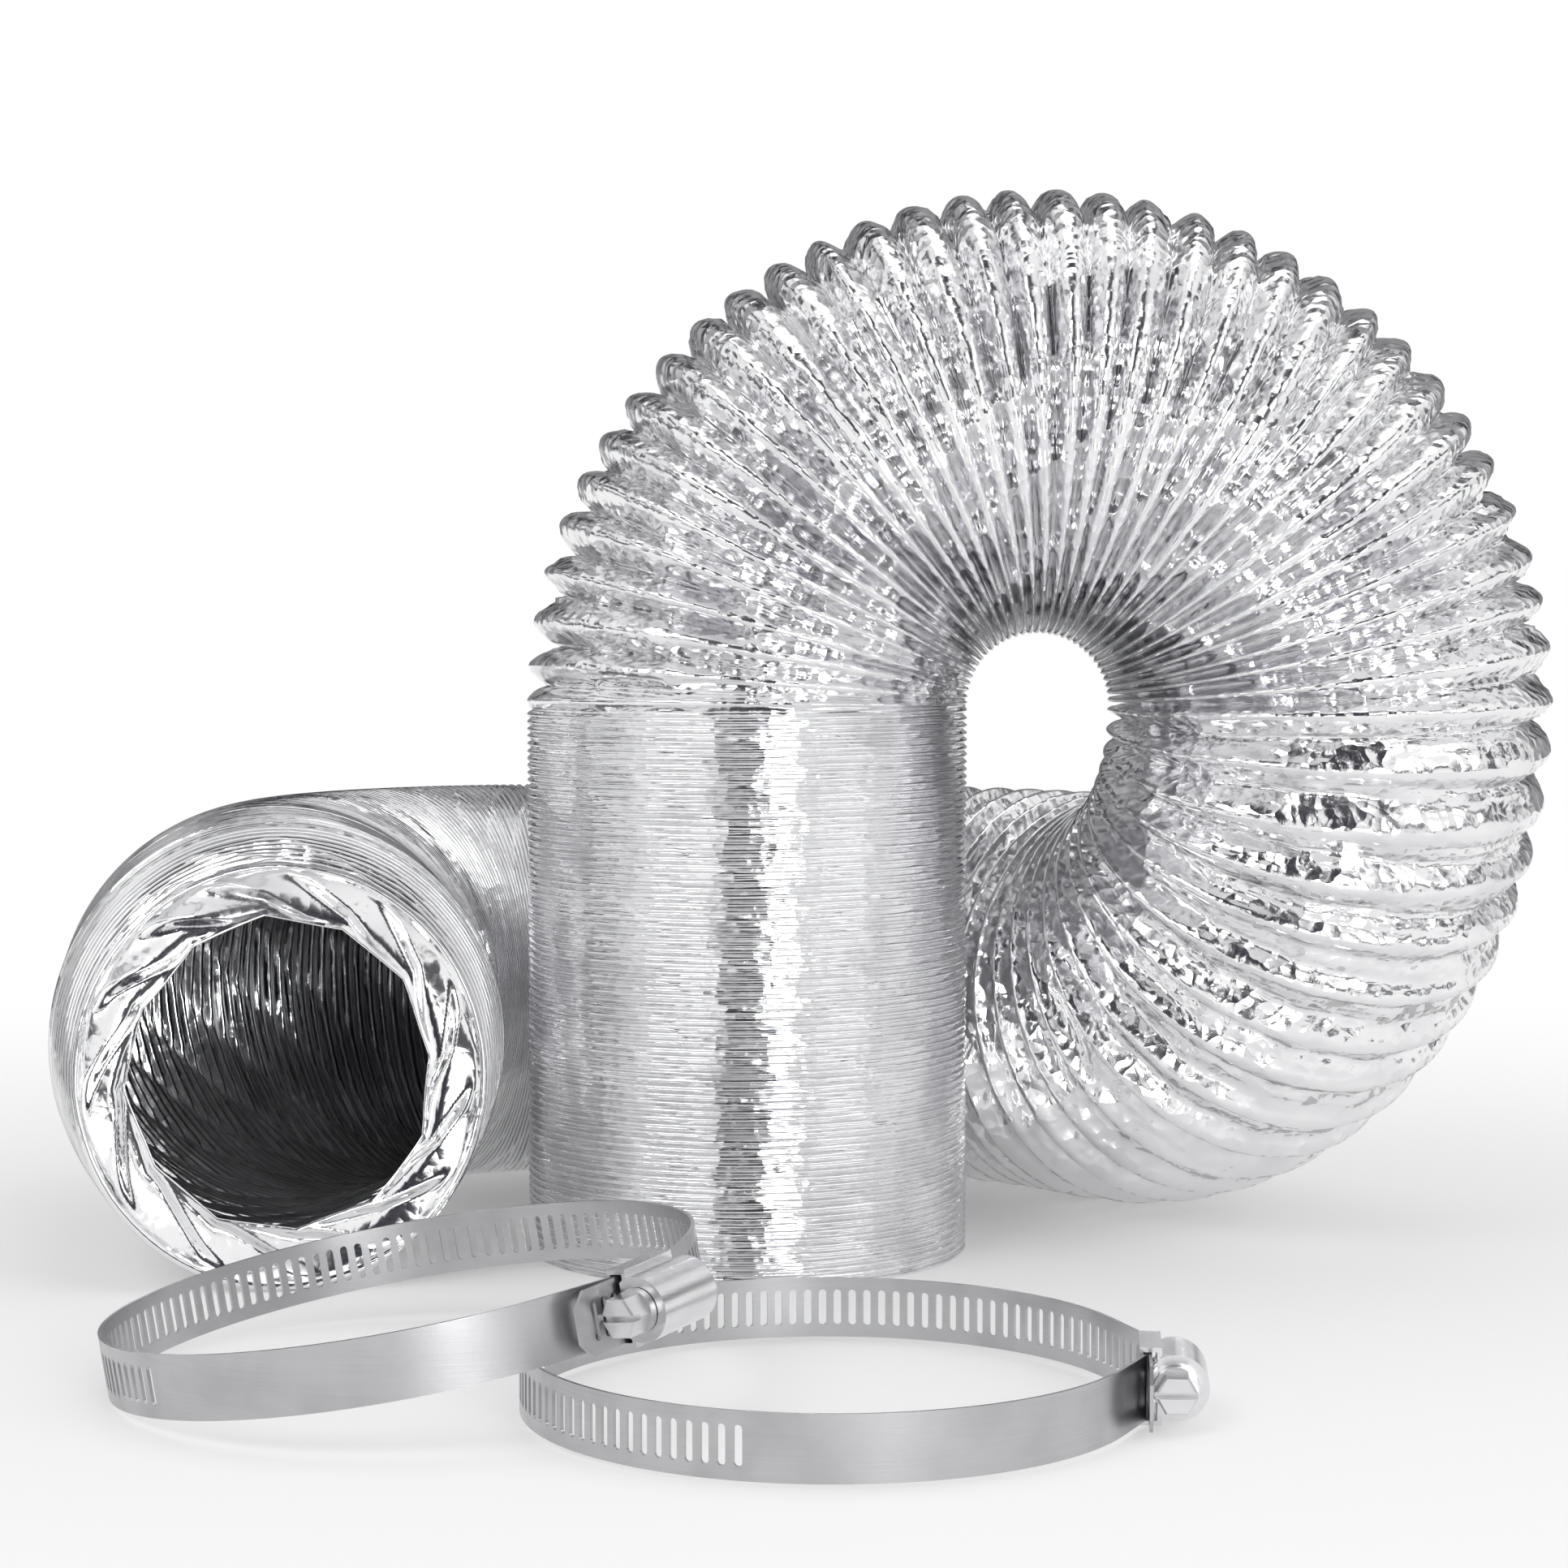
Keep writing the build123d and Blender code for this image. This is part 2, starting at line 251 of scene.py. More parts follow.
@dataclass(frozen=True)
class Foil:
    """Bright crumpled aluminium foil, with fine creases and random patches that roughen it like scuffs and darken
    its colour as a painted reflection.
    """

    name: str = "crinkled_foil"
    bright: tuple = (0.88, 0.88, 0.89, 1.0)
    # painted reflection: the dark grey that the random patches pull the foil's colour towards
    painted_reflection_grey: tuple = (0.52, 0.51, 0.54, 1.0)
    roughness: float = 0.13
    crease_scale: float = 260.0
    crease_depth: float = 0.00060
    crease_strength: float = 0.95
    warp_scale: float = 95.0
    warp: float = 0.006
    broad_share: float = 0.38
    fine_scale: float = 900.0
    broad_height: float = 1.2
    facet_height: float = 1.0
    fine_height: float = 0.12
    # the random patches: their size and edges, how far they darken the colour as painted reflection, and how much
    # they roughen the foil as scuffs
    scuff_and_painted_reflection_scale: float = 38.0
    scuff_and_painted_reflection_edge: tuple = (0.42, 0.78)
    painted_reflection_dulls: float = 0.45
    wear_roughens: float = 0.10
    fine_roughens: float = 0.04

    def material(self) -> bpy.types.Material:
        """Builds the material.

        Returns:
            The foil material.
        """
        made = bpy.data.materials.new(self.name)
        made.use_nodes = True
        shader = Shader(made.node_tree)
        where = scaled(shader, (1.0, 1.0, 1.0))
        bend = shader.link("ShaderNodeTexNoise", "Color", Vector=where, Scale=self.warp_scale, Detail=2.0)
        shift = shader.link("ShaderNodeVectorMath", 0, {"operation": "SCALE"}, i0=bend, i3=self.warp)
        bent = shader.link("ShaderNodeVectorMath", 0, {"operation": "ADD"}, i0=where, i1=shift)
        facets = shader.link("ShaderNodeTexVoronoi", "Distance", {"feature": "F1"}, Vector=bent,
                             Scale=self.crease_scale)
        broad = shader.link("ShaderNodeTexVoronoi", "Distance", {"feature": "SMOOTH_F1"}, Vector=bent,
                            Scale=self.crease_scale * self.broad_share)
        fine = shader.link("ShaderNodeTexNoise", "Fac", Vector=where, Scale=self.fine_scale, Detail=3.0)
        patch = shader.link("ShaderNodeTexNoise", "Fac", Vector=where, Scale=self.scuff_and_painted_reflection_scale, Detail=3.0)
        height = broad * self.broad_height + facets * self.facet_height + fine * self.fine_height
        bump = shader.link("ShaderNodeBump", 0, None, Strength=self.crease_strength,
                           Distance=self.crease_depth, Height=height)
        # painted reflection: random patches darken the foil's colour to stand in for dark reflections, and the
        # same patches roughen it as scuffs
        scuffs_and_painted_reflection = shader.ramp(patch, *self.scuff_and_painted_reflection_edge)
        colour = shader.mix(scuffs_and_painted_reflection * self.painted_reflection_dulls, self.bright, self.painted_reflection_grey)
        rough = self.roughness + scuffs_and_painted_reflection * self.wear_roughens + fine * self.fine_roughens
        surface = shader.node("ShaderNodeBsdfPrincipled", None, Base_Color=colour, Metallic=1.0,
                              Roughness=rough, Normal=bump)
        shader.node("ShaderNodeOutputMaterial", None, Surface=Link(shader, surface.outputs[0]))
        return made


@dataclass(frozen=True)
class Steel:
    """Stainless or plated steel, brushed along one axis, with small scratches and smudges."""

    name: str
    bright: tuple = (0.74, 0.74, 0.75, 1.0)
    dark: tuple = (0.52, 0.52, 0.53, 1.0)
    roughness: float = 0.28
    grain: tuple = (60.0, 60.0, 2600.0)
    grain_depth: float = 0.00002
    grain_strength: float = 0.5
    speck_scale: float = 1400.0
    speck_height: float = 0.25
    smudge_scale: float = 70.0
    smudge_edge: tuple = (0.35, 0.75)
    streaks_darken: float = 0.35
    smudges_darken: float = 0.35
    streaks_roughen: float = 0.12
    smudges_roughen: float = 0.06

    def material(self) -> bpy.types.Material:
        """Builds the material.

        Returns:
            The steel material.
        """
        made = bpy.data.materials.new(self.name)
        made.use_nodes = True
        shader = Shader(made.node_tree)
        where = scaled(shader, (1.0, 1.0, 1.0))
        streaks = shader.link("ShaderNodeTexNoise", "Fac", Vector=scaled(shader, self.grain),
                              Scale=1.0, Detail=4.0)
        smudge = shader.link("ShaderNodeTexNoise", "Fac", Vector=where, Scale=self.smudge_scale, Detail=3.0)
        specks = shader.link("ShaderNodeTexVoronoi", "Distance", None, Vector=where,
                             Scale=self.speck_scale)
        patch = shader.ramp(smudge, *self.smudge_edge)
        darkness = streaks * self.streaks_darken + patch * self.smudges_darken
        colour = shader.mix(darkness, self.bright, self.dark)
        rough = self.roughness + streaks * self.streaks_roughen + patch * self.smudges_roughen
        height = streaks + specks * self.speck_height
        bump = shader.link("ShaderNodeBump", 0, None, Strength=self.grain_strength,
                           Distance=self.grain_depth, Height=height)
        surface = shader.node("ShaderNodeBsdfPrincipled", None, Base_Color=colour, Metallic=1.0,
                              Roughness=rough, Normal=bump)
        shader.node("ShaderNodeOutputMaterial", None, Surface=Link(shader, surface.outputs[0]))
        return made


# ---------------------------------------------------------------- the duct's route


@dataclass
class Run:
    """One straight or one arc of the duct's centre line, in metres and radians."""

    start: Vector
    heading: Vector
    side: Vector
    length: float
    axis: Vector | None = None
    radius: float = 0.0

    def turned(self, vector: Vector, along: Array) -> Array:
        """A direction carried along the run.

        Args:
            vector: The direction at the run's start.
            along: Distances from the start.

        Returns:
            One row for each distance.
        """
        if self.axis is None:
            return np.tile(np.array(vector), (len(along), 1))
        angle = (along / self.radius)[:, None]
        axis, v = np.array(self.axis), np.array(vector)
        lift = axis * axis.dot(v)
        return lift + (v - lift) * np.cos(angle) + np.cross(axis, v) * np.sin(angle)

    def points(self, along: Array) -> Array:
        """Finds points of the centre line.

        Args:
            along: Distances from the run's start.

        Returns:
            One point for each distance.
        """
        if self.axis is None:
            return np.array(self.start) + np.outer(along, np.array(self.heading))
        arm = -self.axis.cross(self.heading) * self.radius
        return np.array(self.start - arm) + self.turned(arm, along)

    def inward(self, along: Array) -> Array:
        """Finds how the centre line curves.

        Args:
            along: Distances from the run's start.

        Returns:
            One vector for each distance, towards the arc's centre and as long as one over its radius.
        """
        if self.axis is None:
            return np.zeros((len(along), 3))
        return self.turned(self.axis.cross(self.heading), along) / self.radius

    def next(self, length: float, axis: Vector | None = None, radius: float = 0.0) -> "Run":
        """Carries on from the end of this run.

        Args:
            length: The new run's length.
            axis: The direction it turns about, or None if it is straight.
            radius: Its radius, if it turns.

        Returns:
            The next run.
        """
        end = np.array([self.length])
        return Run(Vector(self.points(end)[0]), Vector(self.turned(self.heading, end)[0]),
                   Vector(self.turned(self.side, end)[0]), length, axis, radius)


@dataclass
class Route:
    """The duct's centre line from its standing end to its mouth."""

    standing: float = 133 * MM
    arch_radius: float = 71 * MM
    duct_radius: float = 53.8 * MM
    drop_side: float = radians(125)
    rear_radius: float = 110 * MM
    rear_turn: float = radians(55)
    rear_length: float = 55 * MM
    bend_radius: float = 73 * MM
    bend_turn: float = radians(100)
    neck: float = 15 * MM
    bellows: float = 45 * MM
    mouth: float = 25 * MM
    runs: list[Run] = field(default_factory=list)

    def __post_init__(self) -> None:
        """Lays the runs end to end."""
        up = Vector((0, 0, 1))
        drop_radius = self.standing - self.duct_radius
        side = Vector((cos(self.drop_side), sin(self.drop_side), 0))
        first = Run(Vector((0, 0, 0)), up, Vector((0, -1, 0)), self.standing)
        arch = first.next(pi * self.arch_radius, Vector((0, 1, 0)), self.arch_radius)
        drop = arch.next(pi / 2 * drop_radius, Vector((0, 0, -1)).cross(side), drop_radius)
        curve = drop.next(self.rear_turn * self.rear_radius, up, self.rear_radius)
        rear = curve.next(self.rear_length)
        bend = rear.next(self.bend_turn * self.bend_radius, up, self.bend_radius)
        neck = bend.next(self.neck)
        bellows = neck.next(self.bellows)
        self.runs = [first, arch, drop, curve, rear, bend, neck, bellows, bellows.next(self.mouth)]

    def ends(self) -> Array:
        """Adds up the runs.

        Returns:
            The distances at which they meet, from 0 to the whole length.
        """
        return np.concatenate([[0.0], np.cumsum([run.length for run in self.runs])])

    def place(self, along: Array, method: Callable[[Run, Array], Array]) -> Array:
        """Calls a method of the right run for each distance along the route.

        Args:
            along: Distances from the standing end.
            method: Takes a run and distances from its start.

        Returns:
            One row for each distance.
        """
        ends = self.ends()
        which = np.clip(np.searchsorted(ends, along, side="right") - 1, 0, len(self.runs) - 1)
        rows = np.zeros((len(along), 3))
        for index, run in enumerate(self.runs):
            chosen = which == index
            if chosen.any():
                rows[chosen] = method(run, along[chosen] - ends[index])
        return rows


class Carrier(Enum):
    """What a length of the duct moves with."""

    FIXED = "duct"
    BEND = "duct to neck"
    BELLOWS = "neck to mouth"
    MOUTH = "mouth"


@dataclass(frozen=True)
class Length:
    """One length of the duct that is a piece of its own."""

    name: str
    first_turn: float
    last_turn: float
    rows: int
    columns: int
    carrier: Carrier
    nodes: tuple[str, ...]


def mesh_piece(name: str, points: Array, faces: Array, material: bpy.types.Material) -> bpy.types.Object:
    """Makes a mesh object with one material.

    Args:
        name: The piece's name.
        points: Its vertices, in metres.
        faces: Its faces, as vertex numbers.
        material: The finish.

    Returns:
        The new object.
    """
    data = bpy.data.meshes.new(name)
    data.from_pydata(np.asarray(points).tolist(), [], np.asarray(faces).tolist())
    data.materials.append(material)
    data.polygons.foreach_set("use_smooth", [True] * len(data.polygons))
    data.validate()
    piece = bpy.data.objects.new(name, data)
    bpy.context.scene.collection.objects.link(piece)
    return piece


# ---------------------------------------------------------------- the duct


@dataclass
class Duct:
    """The crinkled foil hose: one helical skin over one spring wire, cut into its lengths."""

    route: Route
    crest: float = 53.7 * MM
    wire_diameter: float = 1.0 * MM
    strip: float = 19.0 * MM
    least_fold: float = 1.2 * MM
    pleats: int = 14
    pleat_twist: float = 0.012
    pleat_width: float = 0.085
    pleat_rise: float = 0.42
    crumple: float = 0.85 * MM
    tilt: float = 0.16
    turns: tuple = (75, 33, 14, 11, 8, 60, 6, 18, 10)
    gather_length: float = 32.0 * MM
    gather: float = 0.10
    lobe_power: float = 2.3
    notch_power: float = 0.75
    rope_power: float = 3.2
    gather_lean: float = 0.34
    bend_index: int = 5
    bend_blend: float = 24 * MM
    wire_steps: int = 72
    wire_sides: int = 6
    wire_sunk: float = 0.62
    wire_tip: float = 0.02
    fold_floor: float = 0.2 * MM
    loose_fold: float = 5 * MM
    tight_looseness: float = 0.04
    seed: int = 11

    def __post_init__(self) -> None:
        """Works out where each turn of the wire lies and draws the crumples."""
        draw = np.random.default_rng(self.seed)
        self.turn_ends = np.concatenate([[0.0], np.cumsum(self.turns)])
        fine = np.linspace(0.0, self.turn_ends[-1], 6001)
        along = np.interp(fine, self.turn_ends, self.route.ends())
        pitch = np.gradient(along, fine)
        kernel = np.hanning(121)
        padded = np.pad(pitch, 60, mode="edge")
        pitch = np.convolve(padded, kernel / kernel.sum(), mode="valid")
        laid = np.concatenate([[0.0], np.cumsum((pitch[1:] + pitch[:-1]) / 2 * np.diff(fine))])
        self.table_turn = fine
        self.table_along = laid * self.route.ends()[-1] / laid[-1]
        self.table_pitch = pitch
        at = self.turn_ends
        self.knots = np.array([0, at[1] - 1, at[1] + 4, at[1] + 16, at[2], at[2] + 6, at[3] + 6,
                               at[5] - 6, at[5] + 12, at[-1]], float)
        # at each knot: the crest's share of round lobe against thin rope, and the fold's depth
        # as a limit in local pitches and as a share of what the strip's width allows
        self.lobes = np.array([0.6, 0.6, 0.8, 1.0, 0.7, 0.0, 0.1, 0.5, 0.5, 0.5])
        self.fold_limit = np.array([0.50, 0.50, 1.0, 9.0, 9.0, 9.0, 2.0, 1.0, 0.60, 0.60])
        self.fold_share = np.array([1.0, 1.0, 0.95, 0.88, 0.8, 0.55, 0.8, 1.0, 1.0, 1.0])
        self.waves = [(draw.uniform(5.2, 15), draw.uniform(0, TURN), draw.uniform(-1.6, 1.6), 1.0)
                      for _ in range(3)]
        self.waves += [(draw.uniform(17, 41), draw.uniform(0, TURN), draw.uniform(-2.4, 2.4), 0.55)
                       for _ in range(4)]
        self.lean = [(draw.uniform(0.13, 1.07), draw.uniform(0, TURN), draw.uniform(0.4, 1.0))
                     for _ in range(6)]
        self.spread = [(draw.uniform(0.02, 0.4), draw.uniform(0, TURN), draw.uniform(0.4, 1.0))
                       for _ in range(6)]

    @staticmethod
    def _creased(x: Array) -> Array:
        """Makes a wave with straight sides and sharp folds.

        Args:
            x: Phases in radians.

        Returns:
            Values between -1 and 1.
        """
        return 2 / pi * np.arcsin(np.sin(x))

    def surface(self, turn: Array, angle: Array, between: Array) -> Array:
        """Places points of the foil.

        Args:
            turn: Turns along the helix from the standing end.
            angle: The angle round the duct.
            between: The place between two turns of the wire, from 0 on one to 1 on the next.

        Returns:
            One point for each entry.
        """
        sweep = turn * TURN
        pitch = np.interp(turn, self.table_turn, self.table_pitch)
        lean = sum(size * np.sin(rate * sweep + phase) for rate, phase, size in self.lean) / 6
        spread = sum(size * np.sin(rate * sweep + phase) for rate, phase, size in self.spread) / 6
        along = np.interp(turn, self.table_turn, self.table_along)
        along = along + (lean * self.tilt + spread * self.tilt) * pitch
        along = np.clip(along, 0.0, self.table_along[-1])
        centre = self.route.place(along, Run.points)
        heading = self.route.place(along, lambda run, x: run.turned(run.heading, x))
        side = self.route.place(along, lambda run, x: run.turned(run.side, x))
        inward = self.route.place(along, Run.inward)
        away = np.clip(1 - np.abs(2 * between - 1), 0, 1)
        round_crest = 1 - (1 - away**self.lobe_power) ** self.notch_power
        rope_crest = 1 - np.abs(np.cos(pi * between)) ** self.rope_power
        dip = rope_crest + (round_crest - rope_crest) * np.interp(turn, self.knots, self.lobes)
        across = np.cross(heading, side)
        out = side * np.cos(angle)[:, None] + across * np.sin(angle)[:, None]
        local_pitch = pitch * (1.0 - self.crest * np.einsum("ij,ij->i", inward, out))
        # the strip is a little wider or narrower from one stretch to the next
        slack = 1.0 + 0.07 * np.sin(2.3 * sweep) + 0.05 * np.sin(5.9 * sweep + 1.0)
        left_over = (self.strip * slack / 2) ** 2 - (local_pitch / 2) ** 2
        fold = np.sqrt(np.maximum(left_over, self.least_fold**2))
        fold = fold * np.interp(turn, self.knots, self.fold_share)
        fold = np.minimum(fold, np.interp(turn, self.knots, self.fold_limit) * local_pitch
                          + self.fold_floor)
        cell = (angle / TURN * self.pleats + self.pleat_twist * turn * self.pleats) % 1.0 - 0.5
        # the pleats wander a little to each side
        cell = cell + 0.10 * np.sin(1.7 * sweep) * (1 - 4 * cell**2)
        pleat = np.exp(-((np.abs(cell) - 0.5) / self.pleat_width) ** 2)
        chord = (self.crest - fold) * (1 - cos(pi / self.pleats)) * (1 - 4 * cell**2)
        noise = sum(size * self._creased(rate * sweep + phase + shear * dip * pi)
                    for rate, phase, shear, size in self.waves) / 3
        open_share = np.clip(local_pitch / self.strip, 0.0, 1.0)
        loose = np.clip(fold / self.loose_fold, self.tight_looseness, 1.0) ** 1.5
        depth = dip * (fold * (1 - self.pleat_rise * pleat * (1 - open_share)) + chord * loose)
        depth = depth + dip * loose * (0.35 + open_share) * noise * self.crumple
        placed = centre + out * (self.crest - depth)[:, None]
        return self.gathered(placed, centre, heading, along)

    def gathered(self, placed: Array, centre: Array, heading: Array, along: Array) -> Array:
        """Draws the open mouth in a little and leans its rim back, with its foot on the floor.

        Args:
            placed: Points of the foil.
            centre: The centre line at each.
            heading: The duct's direction at each.
            along: Distances along the route.

        Returns:
            The moved points.
        """
        share = np.clip((along - self.table_along[-1]) / self.gather_length + 1, 0, 1) ** 1.5
        offset = (placed - centre) * (1 - self.gather * share)[:, None]
        offset[:, 2] -= self.gather * share * self.crest
        height = np.clip(offset[:, 2] + self.crest, 0, None)
        return centre + offset - heading * (height * share * self.gather_lean)[:, None]

    def skin(self, length: Length, foil: bpy.types.Material) -> bpy.types.Object:
        """Builds one length of the foil, as a helical strip folded between the wire's turns.

        Args:
            length: Which length.
            foil: The finish.

        Returns:
            The piece.
        """
        rows, columns = length.rows, length.columns
        starts = length.first_turn == 0
        ends = length.last_turn >= self.turn_ends[-1]
        row = np.arange(-rows if starts else 0, round((length.last_turn - length.first_turn) * rows) + 1)
        column = np.arange(columns + 1) / columns
        turn = length.first_turn + row[:, None] / rows + column[None, :]
        angle = np.broadcast_to(column * TURN, turn.shape)
        between = np.broadcast_to((row / rows % 1.0)[:, None], turn.shape)
        points = self.surface(turn.ravel(), angle.ravel(), between.ravel())
        grid = np.arange(turn.size).reshape(turn.shape)
        grid[:-rows, -1] = grid[rows:, 0]
        faces = np.stack([grid[:-1, :-1], grid[:-1, 1:], grid[1:, 1:], grid[1:, :-1]], -1).reshape(-1, 4)
        low = self.turn_ends[0] if starts else -np.inf
        high = self.turn_ends[-1] if ends else np.inf
        at = turn.ravel()[faces]
        faces = faces[(at > low).any(1) & (at < high).any(1)]
        used, faces = np.unique(faces, return_inverse=True)
        points, faces = points[used], faces.reshape(-1, 4)
        return mesh_piece(f"foil_{length.name}", points, faces, foil)

    def wire(self, length: Length, steel: bpy.types.Material) -> bpy.types.Object:
        """Builds the spring wire under one length of the foil.

        Args:
            length: Which length.
            steel: The finish.

        Returns:
            The piece.
        """
        steps, sides = self.wire_steps, self.wire_sides
        low = max(length.first_turn, self.wire_tip)
        high = min(length.last_turn, self.turn_ends[-1] - (1 + self.wire_tip))
        turn = np.linspace(low, high + 1, int((high - low + 1) * steps))
        angle = (turn % 1.0) * TURN
        middle = self.surface(turn, angle, np.zeros_like(turn))
        ahead = self.surface(turn, angle, np.full_like(turn, 0.5))
        out = middle - ahead
        out /= np.linalg.norm(out, axis=1)[:, None]
        middle = middle - out * (self.wire_diameter * self.wire_sunk)
        tangent = np.gradient(middle, axis=0)
        tangent /= np.linalg.norm(tangent, axis=1)[:, None]
        cross = np.cross(tangent, out)
        around = np.arange(sides) / sides * TURN
        ring = out[:, None, :] * np.cos(around)[None, :, None]
        ring = ring + cross[:, None, :] * np.sin(around)[None, :, None]
        points = (middle[:, None, :] + ring * self.wire_diameter / 2).reshape(-1, 3)
        grid = np.arange(len(points)).reshape(-1, sides)
        turned = np.roll(grid, -1, axis=1)
        faces = np.stack([grid[:-1], turned[:-1], turned[1:], grid[1:]], -1).reshape(-1, 4)
        return mesh_piece(f"wire_{length.name}", points, faces, steel)

    def carry(self, piece: bpy.types.Object, carrier: Carrier) -> None:
        """Makes a piece move with its body, or bakes its place into its mesh if it lies between two bodies.

        Args:
            piece: The piece.
            carrier: What it moves with.
        """
        ends = self.route.ends()
        if carrier is Carrier.FIXED:
            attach(piece, "duct")
        elif carrier is Carrier.MOUTH:
            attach(piece, "mouth")
        elif carrier is Carrier.BEND:
            bend = self.route.runs[self.bend_index]
            first, last = (Vector(p) for p in bend.points(np.array([0.0, bend.length])))
            centre = first + bend.axis.cross(bend.heading) * bend.radius
            chord = (last - first).normalized() * self.bend_blend
            centre - chord
            centre + chord
            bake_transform(piece)
        else:
            first, last = (Vector(p) for p in self.route.place(ends[[7, 8]], Run.points))
            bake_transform(piece)

    def build(self, lengths: Sequence[Length], foil: bpy.types.Material, gathered: bpy.types.Material,
              steel: bpy.types.Material) -> None:
        """Builds every length of foil and wire and puts each in charge of its CAD nodes.

        Args:
            lengths: The lengths, from the standing end on.
            foil: The finish of the drawn-out foil.
            gathered: The finish of the foil in tight folds, which is less crumpled.
            steel: The wire's finish.
        """
        for length in lengths:
            tight = length.name not in ("arch", "drop")
            skin = self.skin(length, gathered if tight else foil)
            wire = self.wire(length, steel)
            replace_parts(skin, *(n for n in length.nodes if "foil" in n))
            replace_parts(wire, *(n for n in length.nodes if "wire" in n))
            for piece in (skin, wire):
                self.carry(piece, length.carrier)
                log.info("%s: %d faces, moves with %s", piece.name, len(piece.data.polygons),
                         length.carrier.value)


@dataclass
class MouthCuff:
    """The foil of the last turn, folded in over the end wire in swirling leaves to a polygonal hem."""

    duct: Duct
    leaves: int = 13
    hem_sides: int = 12
    hem_share: float = 0.73
    swirl: float = radians(34)
    leaf_depth: float = 2.6 * MM
    hem_depth: float = 3.2 * MM
    roll_in: float = 0.6 * MM
    belly: float = 0.5 * MM
    groove_depth: float = 1.2 * MM
    groove_at: float = 0.09
    groove_width: float = 0.07
    lip_depth: float = 0.9 * MM
    lip_share: float = 0.02
    rim_share: float = 0.16
    leaf_climb: float = 0.72
    leaf_fall: float = 0.28
    columns: int = 312
    rings: int = 30

    def build(self, foil: bpy.types.Material) -> bpy.types.Object:
        """Builds the cuff and makes it ride on the mouth.

        Args:
            foil: The finish.

        Returns:
            The piece.
        """
        route = self.duct.route
        end = np.array([route.ends()[-1]])
        centre, heading, side = (route.place(end, method)[0] for method in (
            Run.points, lambda run, x: run.turned(run.heading, x), lambda run, x: run.turned(run.side, x)))
        across = np.cross(heading, side)
        angle = np.arange(self.columns) / self.columns * TURN
        share = np.linspace(0.0, 1.0, self.rings)
        crest = self.duct.crest
        cell = (angle * self.hem_sides / TURN) % 1.0 - 0.5
        hem = crest * self.hem_share * cos(pi / self.hem_sides) / np.cos(cell * TURN / self.hem_sides)
        hem = hem * (1 + 0.012 * np.sin(3 * angle + 1) + 0.01 * np.sin(5 * angle))
        around = side[None, :] * np.cos(angle)[:, None] + across[None, :] * np.sin(angle)[:, None]
        rings = []
        for x in share:
            flat = np.clip((x - self.rim_share) / (1 - self.rim_share), 0, 1)
            radius = crest + (hem - crest) * x
            turn = angle + self.swirl * flat**1.5
            leaf = (turn * self.leaves / TURN + 0.15 * np.sin(2 * angle)) % 1.0
            valley = np.where(leaf < self.leaf_climb, leaf / self.leaf_climb, (1 - leaf) / self.leaf_fall)
            rise = np.sin(pi * np.clip(flat * 1.08, 0, 1)) ** 0.7
            groove = self.groove_depth * np.exp(-(((x - self.groove_at) / self.groove_width) ** 2))
            depth = self.leaf_depth * valley * rise + self.belly * np.sin(pi * x)
            depth = depth - groove + self.lip_depth * (x < self.lip_share)
            rings.append((radius, depth))
        for fraction in (0.25, 0.6, 1.0):
            rings.append((hem + self.roll_in * fraction, depth + self.hem_depth * fraction))
        points = []
        for radius, depth in rings:
            flat = centre + around * radius[:, None]
            whole = np.full(self.columns, end[0])
            moved = self.duct.gathered(flat, np.tile(centre, (self.columns, 1)),
                                       np.tile(heading, (self.columns, 1)), whole)
            points.append(moved - heading[None, :] * depth[:, None])
        grid = np.arange(len(points) * self.columns).reshape(-1, self.columns)
        turned = np.roll(grid, -1, axis=1)
        faces = np.stack([grid[:-1], turned[:-1], turned[1:], grid[1:]], -1).reshape(-1, 4)
        piece = mesh_piece("foil_mouth_cuff", np.concatenate(points), faces, foil)
        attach(piece, "mouth")
        log.info("%s: %d faces, moves with mouth", piece.name, len(faces))
        return piece


# ---------------------------------------------------------------- the clamps


